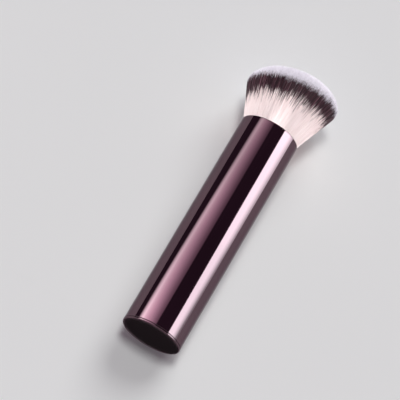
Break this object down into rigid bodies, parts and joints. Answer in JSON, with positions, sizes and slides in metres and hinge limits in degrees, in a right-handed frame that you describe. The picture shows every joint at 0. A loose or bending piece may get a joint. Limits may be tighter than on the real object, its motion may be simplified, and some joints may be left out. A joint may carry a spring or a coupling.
{
  "type": "flat top foundation brush",
  "caption": "Short make-up brush with a plain cylindrical metal handle and a dense, fanned head of bristles cut to a slanted, domed flat top.",
  "frame": {"origin": "centre of the flat base face of the handle", "axes": "+Z along the handle's axis from the base to the bristle tips, +X towards the higher side of the slanted crown"},
  "size_m": [0.035, 0.0352, 0.1214],
  "materials": {
    "cap_metal": "mirror gloss, deep aubergine",
    "handle_metal": "mirror gloss, deep aubergine",
    "foam": "closed-cell foam",
    "steel": "turned",
    "core_plastic": "as moulded",
    "ferrule_metal": "drawn, satin",
    "resin": "cast epoxy",
    "filament": "fine synthetic filament, cream with a dark wine band and white tips"
  },
  "bodies": {
    "root": {"base_cap": "cap_metal", "handle_tube": "handle_metal", "lower_pad": "foam", "counterweight": "steel", "upper_pad": "foam", "handle_core": "core_plastic", "ferrule": "ferrule_metal", "resin_plug": "resin", "bristles": "filament"}
  },
  "joints": []
}
